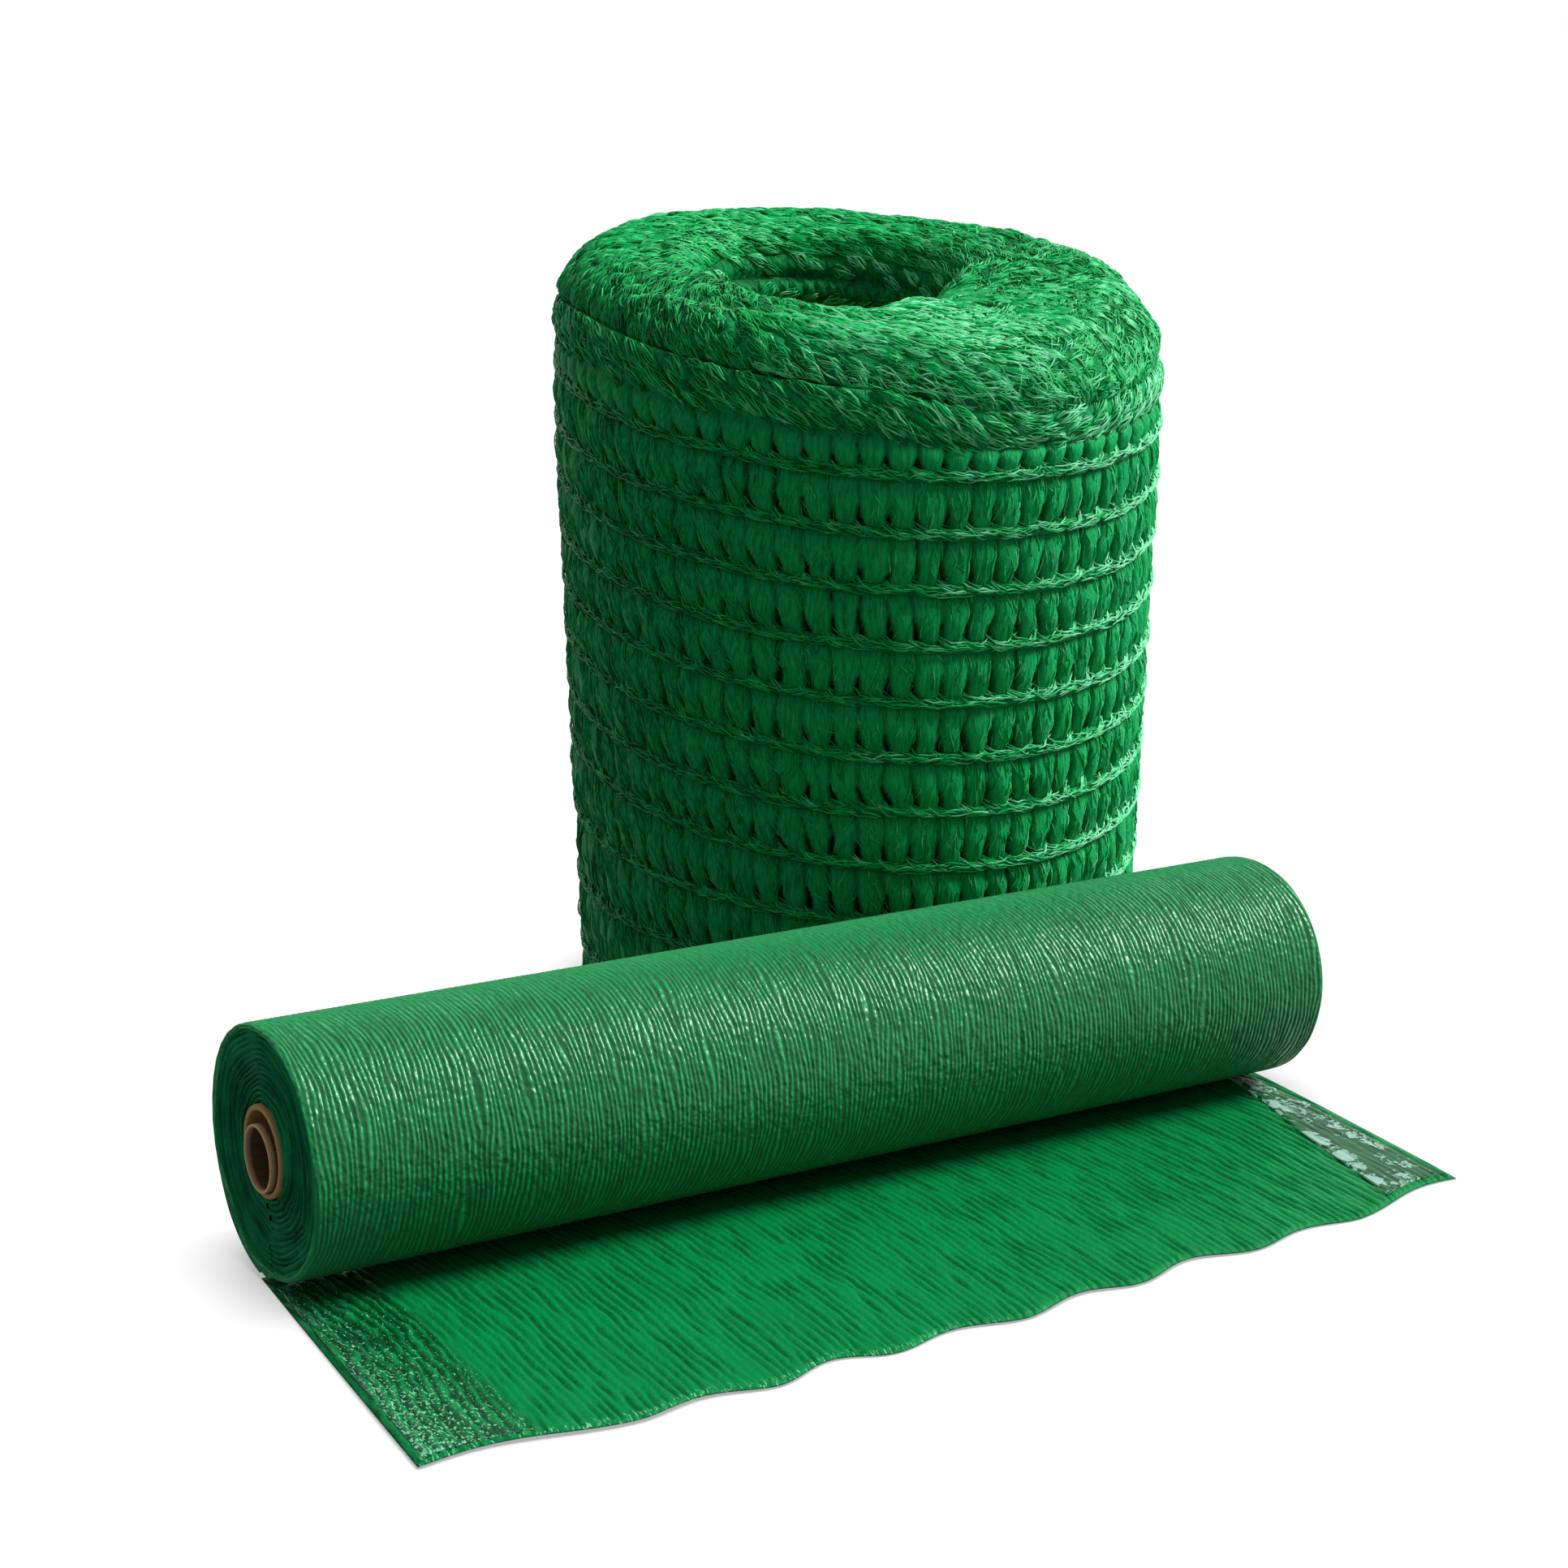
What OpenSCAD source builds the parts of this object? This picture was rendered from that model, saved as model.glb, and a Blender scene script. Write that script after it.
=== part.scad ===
// A pair of garden rolls: a creped sheet wound on a paper core, with its end laid out in front,
// and a coreless roll of chunky knitted netting that stands behind it.
// Millimetres. X runs along the sheet roll, Y points away from its laid end and Z is up.
// The origin is on the floor, under the middle of the sheet roll.

/* [Creped sheet] */
// Width of the sheet, which is the length of its roll
sheet_w = 500; // [400:10:600]
// Thickness of the sheet over its crinkles
crepe_t = 1.95; // [1.6:0.05:2.4]
// Number of turns on the core
turns = 13; // [6:1:15]
// Air between two turns
turn_gap = 0.52; // [0.35:0.01:0.6]

/* [Core] */
// Outer diameter of the paper core
core_d = 37.7; // [36:0.1:45]
// Wall of the paper core
core_wall = 2.35; // [1.5:0.05:2.8]
// Bore of the loose sleeve, which takes the spindle
sleeve_bore = 25.4; // [20:0.1:25.8]
// Wall of the loose sleeve
sleeve_wall = 1; // [0.8:0.1:1.5]
// How far the sleeve stands out of the core at each end
sleeve_proud = 2; // [0.5:0.5:6]
// Thickness of the tape that holds the sheet's first edge
tape_t = 0.2; // [0.15:0.05:0.4]
// Width of that tape, around the core
tape_w = 20; // [10:1:30]

/* [Laid end] */
// Reach of the laid end in front of the roll's middle, at its left
laid_front = 187; // [150:1:240]
// How far the laid end reaches behind the roll's middle
laid_back = 8; // [2:1:10]
// Angle at which the laid end runs askew
laid_skew = 5.5; // [0:0.5:8]
// Angle at which its front edge was cut out of square
front_cut = 2.2; // [0:0.2:4]
// Width of one scallop of the front edge
scallop_w = 57; // [40:1:80]
// Depth of one scallop
scallop_h = 7; // [2:0.5:12]
// Distance from the left corner to the first point between two scallops
scallop_start = 25; // [0:1:40]

/* [Edge films] */
// Thickness of the shiny film along each edge
film_t = 0.2; // [0.1:0.05:0.4]
// Width of the film at its front end
film_w = 42; // [20:1:60]
// Width of the film at its end under the roll
film_back_w = 20; // [10:1:40]
// Bare rim outside the film
film_rim = 4; // [2:0.5:10]

/* [Peel strip] */
// Thickness of the sheet where it leaves the roll
strip_t = 0.8; // [0.5:0.1:1.5]
// Angle that the strip covers on the roll's back
strip_arc = 50; // [20:1:90]

/* [Netting roll] */
// Diameter over the yarn bundles
net_d = 304; // [280:1:330]
// Height at the middle of the sloping top
net_h = 371; // [330:1:420]
// Diameter of the open middle
hollow_d = 132; // [110:1:150]
// Slope of the top and of the cords
lean = 11.6; // [0:0.2:13]
// Direction of the lowest side, from +X
low_side = 264; // [240:1:290]
// Radius of the rounded shoulder
shoulder_r = 35; // [25:1:42]
// How much the outer radius shrinks towards the floor
foot_narrow = 10; // [0:0.5:12]
// Depth of the groove between two wraps
groove = 9; // [4:0.5:12]
// Distance between the two rolls
roll_space = 8; // [8:0.5:60]
// Place of the netting roll's middle along the sheet roll
net_x = 165; // [0:1:200]

/* [Yarns] */
// Number of cords around the netting roll
cord_count = 11; // [8:1:12]
// Thickness of a cord
cord_t = 7.4; // [5:0.1:9]
// How far a cord stands out past the bundles
cord_proud = 0.5; // [0:0.1:1.5]
// How far a bundle bulges out past its ends
bundle_bulge = 3.5; // [1:0.1:4]

/* [Hidden] */
// Clearances between pieces that touch, rest or run on each other
run_gap = 0.3;
seat_gap = 0.3;
tape_gap = 0.12;
floor_gap = 1.2;

// Angular steps of the exact winding and of the netting rings
turn_steps = 36;
ring_steps = 32;
tube_fn = 96;

// Sheet roll
core_r = core_d / 2;
wind_r = core_r + tape_t + 2 * tape_gap;
wind_pitch = crepe_t + turn_gap;
roll_r = wind_r + turns * wind_pitch + crepe_t;
laid_top = crepe_t + film_t;
axis_z = laid_top + run_gap + roll_r;
sleeve_r = sleeve_bore / 2 + sleeve_wall;
sleeve_drop = core_r - core_wall - sleeve_r - run_gap;
strip_r = roll_r + run_gap;
strip_start = acos(roll_r / (strip_r + strip_t));

// Netting roll
net_r = net_d / 2;
net_y = roll_r + roll_space + net_r;
hollow_r = hollow_d / 2;
wrap_r = net_r + cord_proud - cord_t - seat_gap;
wrap_count = 3;
wrap_w = (wrap_r - hollow_r - (wrap_count - 1) * seat_gap) / wrap_count;
crown_steps = 8;
foot_in = 4;
foot_up = 6;
// Height above which the wall stands upright
narrow_up = 0.8 * net_h;
side_top = top_z(wrap_r, low_side) - groove;
cord_pitch = side_top / (cord_count + 1);
cord_r = net_r + cord_proud - cord_t / 2;
cord_sides = 6;
// Shares of one cord pitch: below the lowest cord's place, and above the highest cord
floor_share = 1 / 6;
top_share = 3 / 4;
// Rows over which the slope of the cords dies out towards the floor
settle_rows = 4;
full_rise = 2 * net_r * tan(lean);
row_in_r = wrap_r + seat_gap;
bulge_low = 0.3;
bulge_high = 0.7;

function two(k) = k < 10 ? str("0", k) : str(k);
function cord_name(k) = str("net_cord_", two(k));
function row_name(k) = str("stitch_row_", two(k));

// ---- Sheet roll ----

// Turns a flat outline in X and Y into a bar along the roll, its outline in Y and Z
module along_roll(length) {
    translate([-length / 2, 0, axis_z])
        rotate([90, 0, 90])
            linear_extrude(length) children();
}

// A point on the winding: the angle grows from the core outwards and ends under the roll
function wind_point(r, a) = [-r * sin(a), -r * cos(a)];

module wound_sheet() {
    steps = turns * turn_steps;
    grow = wind_pitch / turn_steps;
    turn = 360 / turn_steps;
    inside = [for (i = [0:steps]) wind_point(wind_r + i * grow, i * turn)];
    outside = [for (i = [steps:-1:0]) wind_point(wind_r + crepe_t + i * grow, i * turn)];
    color([0.0, 0.47, 0.22]) along_roll(sheet_w) polygon(concat(inside, outside));
}

module tube(length, outer_r, inner_r) {
    rotate([0, 90, 0])
        difference() {
            cylinder(h = length, r = outer_r, center = true, $fn = tube_fn);
            cylinder(h = length + 2, r = inner_r, center = true, $fn = tube_fn);
        }
}

module core_tube() {
    color([0.45, 0.33, 0.18])
        translate([0, 0, axis_z]) tube(sheet_w, core_r, core_r - core_wall);
}

// The sleeve lies loose on the bottom of the core
module core_sleeve() {
    color([0.55, 0.43, 0.27])
        translate([0, 0, axis_z - sleeve_drop])
            tube(sheet_w + 2 * sleeve_proud, sleeve_r, sleeve_bore / 2);
}

// A thin curved plate on the roll, from one angle to another, counted from under the roll
// towards its back
module roll_arc(length, inner_r, thickness, from, to) {
    translate([-length / 2, 0, axis_z])
        rotate([90, 0, 90])
            rotate([0, 0, from - 90])
                rotate_extrude(angle = to - from, $fn = tube_fn)
                    translate([inner_r, 0]) square([thickness, length]);
}

module start_tape() {
    half = tape_w / core_r * 90 / PI;
    color([0.85, 0.8, 0.65])
        roll_arc(sheet_w - 2 * tape_w, core_r + tape_gap, tape_t, -half, half);
}

module peel_strip() {
    color([0.0, 0.47, 0.22])
        roll_arc(sheet_w, strip_r, strip_t, strip_start, strip_start + strip_arc);
}

// ---- Laid end ----

// The place of a point of the laid end, which runs askew in front of the roll
function laid_x(x, y) = x + y * tan(laid_skew);
function cusp_y(x) = -laid_front + (x + sheet_w / 2) * tan(front_cut);
function front_y(x) =
    cusp_y(x) + scallop_h * pow(sin(180 * (x + sheet_w / 2 - scallop_start) / scallop_w), 2);

module laid_sheet() {
    // The edge between its two corners, with five points in each scallop and one between two
    step = scallop_w / 6;
    edge = [for (s = [scallop_start % step:step:sheet_w]) if (s > 1 && s < sheet_w - 1) s - sheet_w / 2];
    stations = concat([-sheet_w / 2], edge, [sheet_w / 2]);
    front = [for (x = stations) [laid_x(x, front_y(x)), front_y(x)]];
    back = [for (x = [sheet_w / 2, -sheet_w / 2]) [laid_x(x, laid_back), laid_back]];
    color([0.0, 0.5, 0.24]) linear_extrude(crepe_t) polygon(concat(front, back));
}

// A film on the sheet along one edge; side is 1 at the right and -1 at the left
module edge_film(side) {
    outer = side * (sheet_w / 2 - film_rim);
    front = cusp_y(outer) + scallop_h + film_rim;
    places = [
        [outer, 0],
        [outer - side * film_back_w, 0],
        [outer - side * film_w, front],
        [outer, front]
    ];
    color([0.45, 0.6, 0.52])
        translate([0, 0, crepe_t])
            linear_extrude(film_t)
                polygon([for (p = places) [laid_x(p[0], p[1]), p[1]]]);
}

module edge_film_left() {
    edge_film(-1);
}

module edge_film_right() {
    edge_film(1);
}

// ---- Netting roll ----

// Height of the sloping top at a radius and an angle, rounded off at the shoulder
function shoulder_drop(r) =
    let (past = max(0, r - (net_r - shoulder_r)))
    shoulder_r - sqrt(pow(shoulder_r, 2) - pow(past, 2));
function top_z(r, a) = net_h - r * tan(lean) * cos(a - low_side) - shoulder_drop(r);

// The radius of a point once the roll is drawn in towards the floor, where its open middle stays
function drawn_in(r, z) =
    r - foot_narrow * max(0, 1 - z / narrow_up) * (r - hollow_r) / (net_r - hollow_r);

// A closed ring from one section of [radius, height] points for each angular step
module net_ring(sections) {
    n = len(sections);
    m = len(sections[0]);
    turn = 360 / n;
    points = [
        for (i = [0:n - 1]) for (p = sections[i])
            let (r = drawn_in(p[0], p[1]))
            [r * cos(i * turn), r * sin(i * turn), p[1]]
    ];
    quads = [
        for (i = [0:n - 1]) for (j = [0:m - 1])
            [i * m + j, i * m + (j + 1) % m, ((i + 1) % n) * m + (j + 1) % m, ((i + 1) % n) * m + j]
    ];
    faces = [for (q = quads) each [[q[0], q[1], q[2]], [q[0], q[2], q[3]]]];
    translate([net_x, net_y, 0]) polyhedron(points, faces, convexity = 6);
}

// One turn of the net, counted from the outside: an upright wall with a crowned, sloping top
function crown_point(outer, inner, t, a) =
    let (r = outer - (outer - inner) * (1 - cos(180 * t)) / 2)
    [r, top_z(r, a) - groove * (1 - sin(180 * t))];

module wrap(k) {
    outer = wrap_r - k * (wrap_w + seat_gap);
    inner = outer - wrap_w;
    net_ring([
        for (i = [0:ring_steps - 1])
            let (a = i * 360 / ring_steps)
            concat(
                [[inner, 0], [outer - foot_in, 0], [outer, foot_up], [outer, narrow_up]],
                [for (j = [0:crown_steps]) crown_point(outer, inner, j / crown_steps, a)],
                [[inner, narrow_up]]
            )
    ]);
}

module outer_wrap() {
    color([0.0, 0.42, 0.18]) wrap(0);
}

module middle_wrap() {
    color([0.0, 0.45, 0.2]) wrap(1);
}

module inner_wrap() {
    color([0.0, 0.4, 0.17]) wrap(2);
}

// Height of a cord's middle: the slope dies out over the lowest rows
function rise(a) = (1 - cos(a - low_side)) / 2;
function cord_z(k, a) =
    cord_pitch * (k - floor_share) + full_rise * min(1, k / settle_rows) * rise(a);

module net_cord(k) {
    color([0.1, 0.6, 0.32])
        net_ring([
            for (i = [0:ring_steps - 1])
                let (z = cord_z(k, i * 360 / ring_steps))
                [
                    for (j = [0:cord_sides - 1])
                        let (b = j * 360 / cord_sides)
                        [cord_r + cord_t / 2 * cos(b), z + cord_t / 2 * sin(b)]
                ]
        ]);
}

// The yarn bundles between two cords, as one bulging band
function row_low(k, a) = k == 1 ? floor_gap : cord_z(k - 1, a) + cord_t / 2 + seat_gap;
function row_high(k, a) =
    k > cord_count ? cord_z(cord_count, a) + top_share * cord_pitch : cord_z(k, a) - cord_t / 2 - seat_gap;

module stitch_row(k) {
    color([0.0, 0.46, 0.2])
        net_ring([
            for (i = [0:ring_steps - 1])
                let (
                    a = i * 360 / ring_steps,
                    low = row_low(k, a),
                    high = row_high(k, a),
                    h = high - low
                )
                [
                    [row_in_r, low],
                    [net_r - bundle_bulge, low],
                    [net_r, low + bulge_low * h],
                    [net_r, low + bulge_high * h],
                    [net_r - bundle_bulge, high],
                    [row_in_r, high]
                ]
        ]);
}

outer_wrap();
middle_wrap();
inner_wrap();
for (k = [1:cord_count]) net_cord(k);
for (k = [1:cord_count + 1]) stitch_row(k);
wound_sheet();
core_tube();
core_sleeve();
start_tape();
peel_strip();
laid_sheet();
edge_film_left();
edge_film_right();
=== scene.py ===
"""A pair of garden rolls on a pale floor: a creped sheet wound on a paper core, its end laid out in
front, and behind it a coreless roll of chunky knitted netting. Built piece by piece on the frame."""

import math

import bpy
import numpy as np
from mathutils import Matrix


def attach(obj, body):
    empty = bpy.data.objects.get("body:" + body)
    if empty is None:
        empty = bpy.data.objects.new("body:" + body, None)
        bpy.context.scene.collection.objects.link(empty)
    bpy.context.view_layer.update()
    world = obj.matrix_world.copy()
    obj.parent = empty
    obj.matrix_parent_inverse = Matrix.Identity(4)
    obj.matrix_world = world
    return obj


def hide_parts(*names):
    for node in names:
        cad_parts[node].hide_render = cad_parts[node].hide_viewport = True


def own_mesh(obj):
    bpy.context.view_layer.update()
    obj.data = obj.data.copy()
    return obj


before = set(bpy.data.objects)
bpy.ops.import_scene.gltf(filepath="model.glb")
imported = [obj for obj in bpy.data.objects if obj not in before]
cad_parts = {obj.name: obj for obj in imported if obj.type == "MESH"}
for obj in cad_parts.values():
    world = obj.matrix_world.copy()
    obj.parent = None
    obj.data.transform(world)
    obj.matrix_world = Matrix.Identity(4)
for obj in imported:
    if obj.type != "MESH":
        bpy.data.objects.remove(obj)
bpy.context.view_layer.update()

# ---- Camera ----
# A long lens a little above the rolls, to the left of the sheet roll's middle.
bpy.ops.object.select_all(action="DESELECT")
camera_turn = (math.radians(77.05), 0, math.radians(-31.72))
bpy.ops.object.camera_add(location=(-0.6442, -1.0254, 0.4513), rotation=camera_turn)
camera = bpy.context.object
camera.data.lens = 67.16
camera.data.sensor_width = 36
bpy.context.scene.camera = camera

# ---- Core tube, core sleeve and start tape ----
# The sheet is wound on a tube of brown paper board. A thinner tube lies loose in it and stands 2 mm
# proud at both ends. A strip of paper tape holds the sheet's first edge on the board.
mm = 0.001
roll_length = 500
axis_height = 55.80
sleeve_height = 53.30

def paint(red, green, blue):
    """A colour as it looks on a screen, 0 to 255, made linear for a shader."""
    shares = [c / 255 for c in (red, green, blue)]
    return [s / 12.92 if s < 0.04045 else ((s + 0.055) / 1.055) ** 2.4 for s in shares] + [1]

def node(tree, kind, values=(), **settings):
    """One shader node. Values are pairs of a socket and what it holds or what is plugged into it."""
    made = tree.nodes.new("ShaderNode" + kind)
    for key, value in settings.items():
        setattr(made, key, value)
    for socket, value in values:
        if isinstance(value, bpy.types.NodeSocket):
            tree.links.new(value, made.inputs[socket])
        else:
            made.inputs[socket].default_value = value
    return made

def reckon(tree, way, *values, kind="Math"):
    """The result of a sum on numbers, or on vectors where kind is VectorMath."""
    return node(tree, kind, enumerate(values), operation=way).outputs[0]

def own_place(tree):
    """Places in the piece's own coordinates."""
    return node(tree, "TexCoord").outputs["Object"]

def new_finish(name, roughness, specular=0.5, shine=(1, 1, 1)):
    """An empty material with its shader."""
    material = bpy.data.materials.new(name)
    material.use_nodes = True
    tree = material.node_tree
    shader = tree.nodes["Principled BSDF"]
    shader.inputs["Roughness"].default_value = roughness
    shader.inputs["Specular IOR Level"].default_value = specular
    shader.inputs["Specular Tint"].default_value = (*shine, 1)
    return material, tree, shader

def blend_colours(tree, share, low, high):
    """Low where share is 0 and high where it is 1."""
    values = [("Factor", share), (6, low), (7, high)]
    return node(tree, "Mix", values, data_type="RGBA").outputs[2]

def ramp(tree, value, start, end, low=0.0, high=1.0):
    """Value stretched from start..end to low..high and clipped."""
    values = enumerate([value, start, end, low, high])
    return node(tree, "MapRange", values).outputs["Result"]

def noise(tree, vector, detail, roughness=0.5, distortion=0.0):
    values = [("Vector", vector), ("Scale", 1.0), ("Detail", detail), ("Roughness", roughness)]
    return node(tree, "TexNoise", values + [("Distortion", distortion)]).outputs["Fac"]

def stretched(tree, place, scale, turn=0.0, shift=0.0):
    """A place with one scale for each direction, turned about Z."""
    values = [("Vector", place), ("Rotation", (0, 0, turn)), ("Scale", scale)]
    return node(tree, "Mapping", values + [("Location", (shift, shift, 0))]).outputs["Vector"]

def stretched_noise(tree, scale, detail=2.0, roughness=0.5):
    """Noise on the piece's own coordinates, with one scale for each direction."""
    return noise(tree, stretched(tree, own_place(tree), scale), detail, roughness)

def dress(tree, shader, colour, height, distance):
    """Gives a finish its colour and its bumps, with their full height in metres."""
    tree.links.new(colour, shader.inputs["Base Color"])
    bump = node(tree, "Bump", [("Height", height), ("Distance", distance), ("Strength", 1.0)])
    tree.links.new(bump.outputs["Normal"], shader.inputs["Normal"])

def board_finish(name, pale, dark, lip, lip_start):
    """Brown paper board: long fibres, specks and a slight nap. Near the cut ends it is painted paler: painted
    light on ends that the lamp does not reach.
    """
    material, tree, shader = new_finish(name, 0.75, 0.3)
    x = node(tree, "SeparateXYZ", [(0, own_place(tree))]).outputs[0]
    near_end = ramp(tree, reckon(tree, "ABSOLUTE", x), lip_start * mm, (lip_start + 3) * mm)
    fibres = stretched_noise(tree, (160, 1500, 1500), 4)
    specks = stretched_noise(tree, (2500, 2500, 2500), 1)
    colour = blend_colours(tree, ramp(tree, fibres, 0.35, 0.65), dark, pale)
    # Painted light: paler near the cut ends.
    colour = blend_colours(tree, near_end, colour, lip)
    colour = blend_colours(tree, ramp(tree, specks, 0.68, 0.75), colour, dark)
    dress(tree, shader, colour, fibres, 0.0002)
    return material

def board_tube(name, length, outer_r, wall, height, finish):
    """An open tube along the roll, given its wall and its softened lips."""
    bpy.ops.object.select_all(action="DESELECT")
    bpy.ops.mesh.primitive_cylinder_add(
        vertices=128, radius=outer_r * mm, depth=length * mm, end_fill_type="NOTHING",
        location=(0, 0, height * mm), rotation=(0, math.pi / 2, 0))
    tube = bpy.context.object
    tube.name = name
    tube.data.name = name
    bpy.ops.object.transform_apply(location=True, rotation=True, scale=True)
    walls = tube.modifiers.new("wall", "SOLIDIFY")
    walls.thickness = wall * mm
    walls.offset = -1
    bpy.ops.object.modifier_apply(modifier="wall")
    lips = tube.modifiers.new("lips", "BEVEL")
    lips.width = wall * 0.3 * mm
    lips.segments = 3
    lips.angle_limit = math.radians(50)
    bpy.ops.object.modifier_apply(modifier="lips")
    bpy.ops.object.shade_smooth_by_angle(angle=math.radians(50))
    tube.data.materials.append(finish)
    return tube

core_board = board_finish("brown_board", paint(118, 96, 56), paint(84, 64, 32), paint(184, 148, 94), 228)
core = board_tube("core", roll_length, 18.85, 2.35, axis_height, core_board)
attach(core, "sheet_roll")
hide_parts("core_tube")

sleeve_board = board_finish("pale_board", paint(82, 62, 28), paint(50, 36, 12), paint(246, 208, 152), 249.2)
sleeve = board_tube("sleeve", roll_length + 4, 13.7, 1.0, sleeve_height, sleeve_board)
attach(sleeve, "sleeve")
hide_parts("core_sleeve")

paper_tape = board_finish("paper_tape", paint(214, 203, 170), paint(190, 176, 140), paint(214, 203, 170), 248)
start_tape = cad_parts["start_tape"]
start_tape.data.materials.clear()
start_tape.data.materials.append(paper_tape)

# ---- Wound sheet ----
# The sheet is thin green plastic film, creped across its width: narrow shiny ridges, about 2.4 mm
# apart, run along it, wander and crowd together. Its last turn covers the roll.
wind_pitch = 2.47
wind_start = 19.29

def at(*parts):
    """An array of places or directions, from its three coordinates."""
    return np.stack(np.broadcast_arrays(*parts), -1).astype(float)

def as_share(x):
    """Held between 0 and 1."""
    return np.clip(x, 0, 1)

def soft_noise(places, seed):
    """Smooth noise from -1 to 1, with cells one unit wide, at an array of places."""
    cell = np.floor(places).astype(np.int64)
    inside = places - cell
    inside = inside * inside * (3 - 2 * inside)
    total = 0
    for corner in range(8):
        step = np.array([corner & 1, corner >> 1 & 1, corner >> 2 & 1])
        key = (cell + step) * np.array([73856093, 19349663, 83492791])
        mixed = key[..., 0] ^ key[..., 1] ^ key[..., 2] ^ (seed * 7919 + 17)
        mixed = (mixed ^ (mixed >> 13)) * 1274126177
        mixed = (mixed ^ (mixed >> 16)) & 0xFFFF
        weight = np.prod(np.where(step == 1, inside, 1 - inside), axis=-1)
        total = total + weight * mixed
    return total / 32767.5 - 1

def grid_piece(name, points, finish, rows_each=0, **attributes):
    """A surface through rows of points in millimetres. Edges that meet are joined, so a loop closes.
    With rows_each, a new shell starts after every so many rows."""
    rows, columns = points.shape[0] - 1, points.shape[1] - 1
    bpy.ops.object.select_all(action="DESELECT")
    bpy.ops.mesh.primitive_grid_add(
        x_subdivisions=columns, y_subdivisions=rows, size=1, calc_uvs=True)
    piece = bpy.context.object
    piece.name = name
    piece.data.name = name
    piece.data.materials.append(finish)
    piece.data.vertices.foreach_set("co", (points * mm).astype(np.float32).ravel())
    for key, values in attributes.items():
        layer = piece.data.attributes.new(key, "FLOAT", "POINT")
        values = np.broadcast_to(values, points.shape[:2])
        layer.data.foreach_set("value", values.astype(np.float32).ravel())
    bpy.ops.object.mode_set(mode="EDIT")
    if rows_each:
        bpy.context.tool_settings.mesh_select_mode = (False, False, True)
        bpy.ops.mesh.select_all(action="DESELECT")
        bpy.ops.object.mode_set(mode="OBJECT")
        corners = np.empty(len(piece.data.loops), np.int32)
        piece.data.loops.foreach_get("vertex_index", corners)
        first_row = corners.reshape(-1, 4).min(axis=1) // points.shape[1]
        piece.data.polygons.foreach_set("select", first_row % rows_each == rows_each - 1)
        bpy.ops.object.mode_set(mode="EDIT")
        bpy.ops.mesh.delete(type="FACE")
        bpy.context.tool_settings.mesh_select_mode = (True, False, False)
    bpy.ops.mesh.select_all(action="SELECT")
    bpy.ops.mesh.remove_doubles(threshold=0.000002)
    bpy.ops.mesh.normals_make_consistent(inside=False)
    bpy.ops.object.mode_set(mode="OBJECT")
    bpy.ops.object.shade_smooth()
    return piece

def painted(tree, name):
    """What the piece's own points say under that name."""
    return node(tree, "Attribute", attribute_name=name).outputs["Fac"]

crest_radius = 52

def creping(x, around):
    """The ridges over the roll, which wander, crowd together and fade: a count that is whole on every
    crest, and their height over the valleys, up to 0.4 mm. Turns are counted from underneath."""
    angle = np.radians(around)
    place = at(x, -crest_radius * np.sin(angle), -crest_radius * np.cos(angle))
    broad = soft_noise(place / (38, 60, 60), 50)
    close = soft_noise(place / (8, 22, 22), 51)
    short = soft_noise(place / (4, 11, 11), 52)
    strength = soft_noise(place / (5, 14, 14), 53)
    phase = place[..., 0] / 2.4 + 1.05 * broad + 0.66 * close + 0.34 * short
    return phase, 0.34 * (0.5 + 0.5 * np.cos(math.tau * phase)) ** 1.6 * (0.8 + 0.4 * strength)

def on_the_roll(x, around, radius):
    """Places about the sheet roll's axis."""
    angle = np.radians(around)
    return at(x, -radius * np.sin(angle), axis_height - radius * np.cos(angle))

def wound_finish():
    """The film on the roll: shiny ridges that break off and start again, painted pale on their crests as
    highlight and dark in the valleys as shade.
    """
    material, tree, shader = new_finish("creped_film", 0.34, 0.55, (0.8, 1.0, 0.88))
    ridge = reckon(tree, "COSINE", reckon(tree, "MULTIPLY", painted(tree, "phase"), math.tau))
    ridge = reckon(tree, "POWER", ramp(tree, ridge, -1.0, 1.0), 2.2)
    strength = ramp(tree, stretched_noise(tree, (260, 90, 90), 2), 0.3, 0.6)
    strength = ramp(tree, strength, -0.35, 1.0)
    taut = painted(tree, "taut")
    strength = reckon(tree, "MULTIPLY", strength, ramp(tree, taut, 1.15, 0.0))
    ridge = reckon(tree, "MULTIPLY", ridge, strength)
    shade = reckon(tree, "ADD", ridge, reckon(tree, "MULTIPLY", taut, 0.4))
    # Painted highlight and painted shade: crests pale green, valleys dark green; the smoothed top gets a
    # middle green.
    colour = blend_colours(tree, ramp(tree, shade, 0.0, 0.8), paint(0, 84, 40), paint(0, 162, 88))
    tree.links.new(ramp(tree, ridge, 0.1, 0.4, 0.9, 0.34), shader.inputs["Roughness"])
    dress(tree, shader, colour, stretched_noise(tree, (320, 270, 270), 1), 0.0012)
    return material

crepe_green = wound_finish()

def sag(around):
    """How much the soft roll is flattened, mostly at its top; turns are counted from underneath."""
    return 2.6 * np.exp(-((around - 186) / 40) ** 2)

half_length = roll_length / 2
face_x = 249.2
surface_x = np.linspace(-half_length, half_length, 1401)
shell_x = np.concatenate([surface_x, [face_x, 0, -face_x, -half_length]])
shell_in = np.concatenate([0 * surface_x, [1.7, 1.7, 1.7, 0]])
turn = np.interp(np.linspace(0, 1, 68), [0, 0.05, 0.78, 1], [0, 15, 200, 360])
shell_x, around = np.meshgrid(shell_x, turn, indexing="ij")
inset = np.broadcast_to(shell_in[:, None], shell_x.shape)
turn_radius = np.interp(around, [0, 5, 60, 285, 345, 360], [53.35, 51.4, 53.4, 53.4, 52.8, 53.35])
turn_radius = turn_radius - sag(around)
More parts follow.
